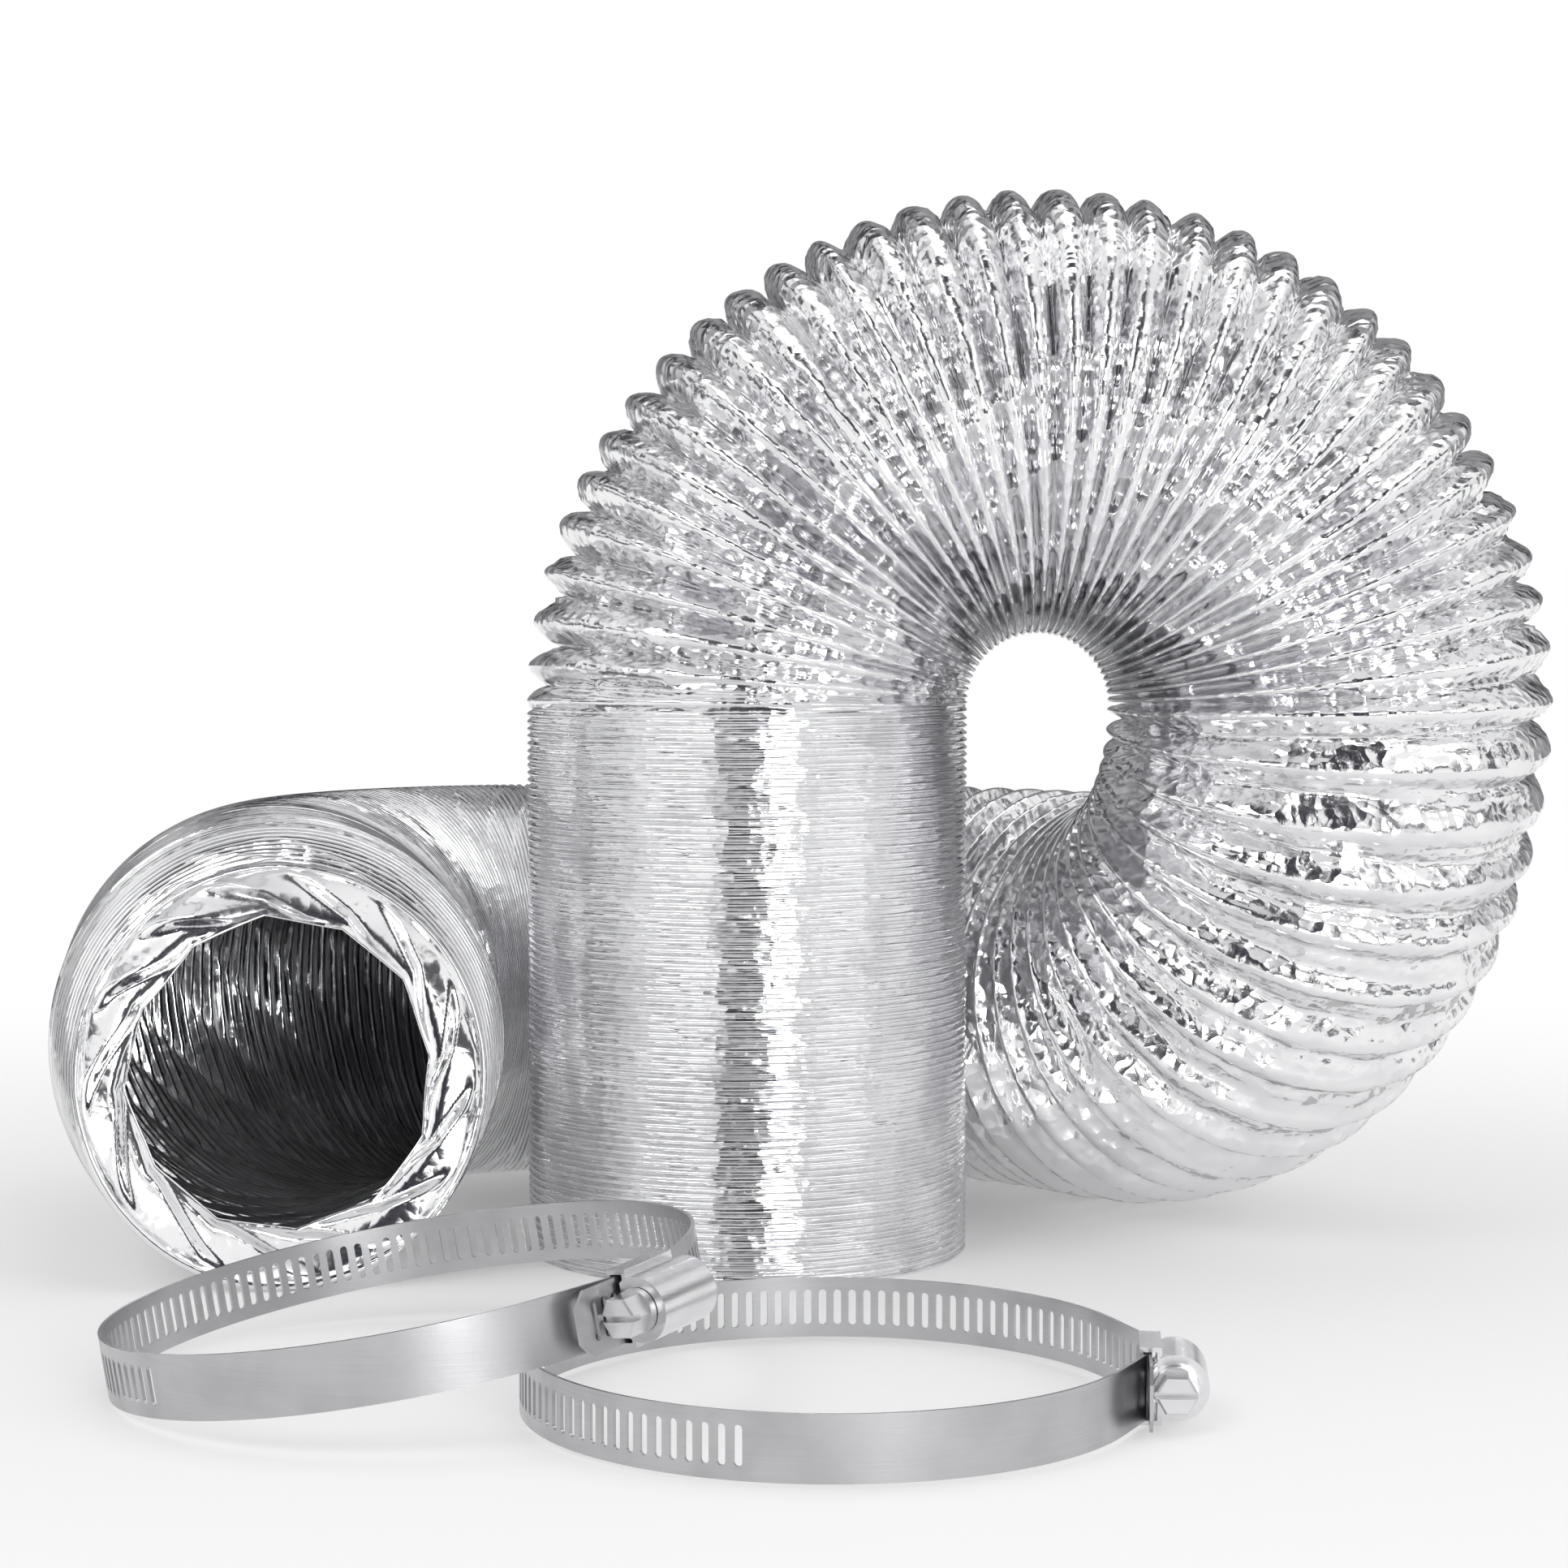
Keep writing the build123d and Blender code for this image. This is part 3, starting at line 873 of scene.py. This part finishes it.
@dataclass
class Clamp:
    """One worm-drive clamp: its CAD pieces get finishes, and its band's loop is cut into the half fixed to the
    housing and the slotted half that leads to the tail.
    """

    side: str
    centre: Vector
    outward: Vector
    along: Vector
    edge_round: float = 0.12 * MM
    edge_angle: float = radians(40)
    fixed_reach: float = 5.2 * MM
    ring_radius: float = 60.7 * MM
    tail_level: float = 61.8 * MM

    def softened(self, node: str, name: str) -> bpy.types.Object:
        """A copy of a CAD node's mesh with rounded edges.

        Args:
            node: The CAD node.
            name: The new piece's name.

        Returns:
            The piece, which replaces the node.
        """
        data = frame["nodes"][node].data.copy()
        data.name = name
        piece = bpy.data.objects.new(name, data)
        bpy.context.scene.collection.objects.link(piece)
        bevel = piece.modifiers.new("edges", "BEVEL")
        bevel.width = self.edge_round
        bevel.segments = 2
        bevel.limit_method = "ANGLE"
        bevel.angle_limit = self.edge_angle
        bevel.harden_normals = True
        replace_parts(piece, node)
        return piece

    def build(self, band: bpy.types.Material, housing: bpy.types.Material,
              screw: bpy.types.Material) -> None:
        """Dresses the clamp.

        Args:
            band: The band's finish.
            housing: The housing's finish.
            screw: The screw's finish.
        """
        finishes = {"band_loop": (band, "clamp_band", "clamp"), "band_tail": (band, "clamp_band", "tail"),
                    "saddle": (band, "clamp_band", "clamp"), "rivets": (band, "clamp_band", "clamp"),
                    "housing": (housing, "clamp_housing", "clamp"),
                    "worm_screw": (screw, "clamp_screw", "screw")}
        for part, (finish, slot, body) in finishes.items():
            piece = self.softened(f"{self.side}_{part}", f"{self.side}_clamp_{part}")
            piece.data.materials.clear()
            piece.data.materials.append(finish)
            if part == "band_loop":
                slotted = self._slotted_half(piece)
                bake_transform(slotted)
                log.info("%s: %d faces, bends with %s_tail", slotted.name,
                         len(slotted.data.polygons), self.side)
            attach(piece, f"{self.side}_{body}")
            log.info("%s: %d faces, moves with %s_%s", piece.name, len(piece.data.polygons),
                     self.side, body)

    def _slotted_half(self, loop: bpy.types.Object) -> bpy.types.Object:
        """Takes the half of the loop that leads to the tail away from it, as a piece of its own.

        Args:
            loop: The whole loop, which keeps only the half fixed to the housing.

        Returns:
            The slotted half.
        """
        slotted = loop.copy()
        slotted.data = loop.data.copy()
        slotted.name = slotted.data.name = f"{self.side}_clamp_band_slotted"
        bpy.context.scene.collection.objects.link(slotted)
        if "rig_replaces" in slotted:
            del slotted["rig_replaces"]
        for piece, keeps_slotted in ((loop, False), (slotted, True)):
            mesh = bmesh.new()
            mesh.from_mesh(piece.data)
            gone = [f for f in mesh.faces if self._leads_to_tail(f.calc_center_median()) != keeps_slotted]
            bmesh.ops.delete(mesh, geom=gone, context="FACES")
            mesh.to_mesh(piece.data)
            mesh.free()
        return slotted

    def _leads_to_tail(self, point: Vector) -> bool:
        """Tells which half of the loop a point is in.

        Args:
            point: A point of the loop.

        Returns:
            Whether it is in the half that leads to the tail.
        """
        along = (point - self.centre).dot(self.along)
        outward = (point - self.centre).dot(self.outward)
        on_fixed_end = along < self.fixed_reach and outward > self.ring_radius
        return along > 0 and not (on_fixed_end and outward < self.tail_level)


# ---------------------------------------------------------------- the studio


@dataclass
class Studio:
    """A plain pale floor, soft light with dark flags for the foil to mirror, and the camera."""

    camera_at: tuple = (0.009, -0.82, 0.158)
    pitch: float = radians(86.9)
    yaw: float = 0.0
    lens: float = 77.0
    floor_size: float = 6.0
    floor_level: float = 0.0
    glow: tuple = (-0.15, 0.62)
    lights: tuple = (("key", (-0.9, -1.1, 1.5), 7.5, 1.0), ("fill", (1.3, -0.9, 1.0), 3.0, 0.8),
                     ("top", (0.1, 0.3, 1.8), 6.5, 1.3), ("low", (0.36, -1.15, 0.22), 4.0, 0.30))
    aim: tuple = (0, 0, 0.08)
    mirror_bounces: int = 9
    flag_scale: float = 2.3
    flag_edge: tuple = (0.53, 0.57)
    strip_edge: tuple = (0.030, 0.060)
    strip_end: tuple = (-0.3, -0.1)
    crown_edge: tuple = (0.86, 0.94)
    behind_edge: tuple = (0.30, 0.85)
    flag_dark: float = 0.94
    strip_dark: float = 0.95
    crown_dark: float = 0.8
    behind_dark: float = 0.72

    def build(self) -> None:
        """Makes the floor, the lights, the surroundings and the camera."""
        self._floor()
        bpy.context.scene.view_settings.view_transform = "Standard"
        bpy.context.scene.cycles.glossy_bounces = self.mirror_bounces
        for name, place, power, size in self.lights:
            self._light(name, place, power, size)
        self._surroundings()
        self._camera()

    def _floor(self) -> None:
        """Lays a large pale floor under the object."""
        half = self.floor_size / 2
        corners = [(-half, -half, 0), (half, -half, 0), (half, half, 0), (-half, half, 0)]
        made = bpy.data.materials.new("pale_floor")
        made.use_nodes = True
        shader = Shader(made.node_tree)
        mottle = shader.link("ShaderNodeTexNoise", "Fac", None, Scale=3.0, Detail=2.0)
        colour = shader.mix(mottle * 0.2, (0.93, 0.93, 0.93, 1.0), (0.90, 0.90, 0.90, 1.0))
        surface = shader.link("ShaderNodeBsdfPrincipled", 0, None, Base_Color=colour, Roughness=0.75)
        glow = shader.link("ShaderNodeEmission", 0, None, Color=(1.0, 1.0, 1.0, 1.0), Strength=1.0)
        where = shader.link("ShaderNodeTexCoord", "Object")
        reach = shader.link("ShaderNodeVectorMath", "Value", {"operation": "LENGTH"}, i0=where)
        share = shader.ramp(reach, *self.glow)
        lit = shader.link("ShaderNodeMixShader", 0, None, i0=share, i1=surface, i2=glow)
        shader.node("ShaderNodeOutputMaterial", None, Surface=lit)
        data = bpy.data.meshes.new("floor")
        data.from_pydata(corners, [], [(0, 1, 2, 3)])
        data.materials.append(made)
        floor = bpy.data.objects.new("floor", data)
        floor.location.z = self.floor_level
        bpy.context.scene.collection.objects.link(floor)

    def _light(self, name: str, place: tuple, power: float, size: float) -> None:
        """Hangs one soft square light that faces the object.

        Args:
            name: The light's name.
            place: Where it hangs, in metres.
            power: Its power in watts.
            size: Its side in metres.
        """
        data = bpy.data.lights.new(name, "AREA")
        data.energy = power
        data.size = size
        lamp = bpy.data.objects.new(name, data)
        lamp.location = place
        lamp.rotation_euler = (Vector(self.aim) - Vector(place)).to_track_quat("-Z", "Y").to_euler()
        bpy.context.scene.collection.objects.link(lamp)

    def _surroundings(self) -> None:
        """Surrounds the object with a white room that has dark flags standing in it."""
        world = bpy.data.worlds.new("studio")
        bpy.context.scene.world = world
        world.use_nodes = True
        shader = Shader(world.node_tree)
        where = shader.link("ShaderNodeTexCoord", "Generated")
        sides = shader.node("ShaderNodeSeparateXYZ", None, Vector=where)
        x, y, height = (Link(shader, sides.outputs[n]) for n in range(3))
        flags = shader.link("ShaderNodeTexNoise", "Fac", None, Vector=where,
                            Scale=self.flag_scale, Detail=1.5)
        dark = shader.ramp(flags, *self.flag_edge)
        aside = x * x
        strip = (1.0 - shader.ramp(aside, *self.strip_edge)) * (1.0 - shader.ramp(y, *self.strip_end))
        crown = shader.ramp(height, *self.crown_edge)
        behind = shader.ramp(y, *self.behind_edge)
        rest = (1.0 - dark * self.flag_dark) * (1.0 - strip * self.strip_dark)
        rest = rest * (1.0 - crown * self.crown_dark) * (1.0 - behind * self.behind_dark)
        shade = 1.0 - rest
        colour = shader.mix(shade, (1.0, 1.0, 1.0, 1.0), (0.03, 0.03, 0.04, 1.0))
        seen = shader.link("ShaderNodeLightPath", "Is Camera Ray")
        shown = shader.mix(seen, colour, (1.0, 1.0, 1.0, 1.0))
        sky = shader.node("ShaderNodeBackground", None, Color=shown, Strength=1.0)
        shader.node("ShaderNodeOutputWorld", None, Surface=Link(shader, sky.outputs[0]))

    def _camera(self) -> None:
        """Stands the camera in front of the object, a little above the arch's middle."""
        data = bpy.data.cameras.new("camera")
        data.lens = self.lens
        data.sensor_width = 36.0
        camera = bpy.data.objects.new("camera", data)
        camera.location = self.camera_at
        camera.rotation_euler = (self.pitch, 0.0, self.yaw)
        bpy.context.scene.collection.objects.link(camera)
        bpy.context.scene.camera = camera


# ---------------------------------------------------------------- everything, in order


def nodes_of(*places: str) -> tuple[str, ...]:
    """Names the CAD nodes of the plies and the wire at some places.

    Args:
        places: Places of the duct, such as "arch".

    Returns:
        The names.
    """
    outer = tuple(n for n in frame["nodes"] for place in places
                  if n.removeprefix("outer_foil_").rstrip("_0123456789") == place)
    return outer + tuple(f"{kind}_{place}" for place in places for kind in ("inner_foil", "spring_wire"))


def duct_lengths(duct: Duct) -> list[Length]:
    """The lengths that the duct is cut into.

    Args:
        duct: The duct, for the turns at which its runs meet.

    Returns:
        The lengths, from the standing end on.
    """
    at = [round(float(x)) for x in duct.turn_ends]
    rear = at[5] - 5  # this cut lies in the rear run, 5 turns before the bend
    return [
        Length("standing", at[0], at[1], 8, 144, Carrier.FIXED, nodes_of("standing")),
        Length("arch", at[1], at[2], 14, 192, Carrier.FIXED, nodes_of("arch")),
        Length("drop", at[2], rear, 14, 192, Carrier.FIXED, nodes_of("drop", "rear_curve")),
        Length("bend", rear, at[7], 8, 160, Carrier.BEND, nodes_of("rear_run", "bend", "neck")),
        Length("bellows", at[7], at[8], 10, 160, Carrier.BELLOWS, nodes_of("bellows")),
        Length("mouth", at[8], at[9], 10, 160, Carrier.MOUTH, nodes_of("mouth")),
    ]


def clamps() -> list[Clamp]:
    """Both clamps, placed by the frame's screw joints and mounts.

    Returns:
        The right clamp and the left one.
    """
    joints = {joint["name"]: joint for joint in frame["joints"]}
    mounts = {mount["name"]: mount for mount in frame["record"]["mounts"]}
    made = []
    for side in ("right", "left"):
        turn = joints[f"{side}_screw_turn"]
        centre = Vector(mounts[f"{side}_clamp_ring"]["pos_m"])
        outward = (Vector(turn["pos_m"]) - centre).normalized()
        made.append(Clamp(side, centre, outward, Vector(turn["axis"]).normalized()))
    return made


def main() -> None:
    """Builds the duct, its mouth, the clamps and the studio."""
    logging.basicConfig(level=logging.INFO, format="%(message)s")
    foil = Foil().material()
    gathered = Foil("gathered_foil", crease_scale=300.0, crease_depth=0.00013, roughness=0.10).material()
    wire = Steel("spring_wire", roughness=0.35).material()
    band = Steel("clamp_band", (0.56, 0.56, 0.57, 1.0), (0.36, 0.36, 0.37, 1.0), 0.24).material()
    housing = Steel("clamp_housing", (0.82, 0.82, 0.83, 1.0), (0.62, 0.62, 0.63, 1.0), 0.16).material()
    screw = Steel("clamp_screw", (0.78, 0.78, 0.79, 1.0), (0.55, 0.55, 0.56, 1.0), 0.22).material()
    duct = Duct(Route())
    duct.build(duct_lengths(duct), foil, gathered, wire)
    MouthCuff(duct).build(gathered)
    for clamp in clamps():
        clamp.build(band, housing, screw)
    Studio().build()


if __name__ == "__main__":
    main()
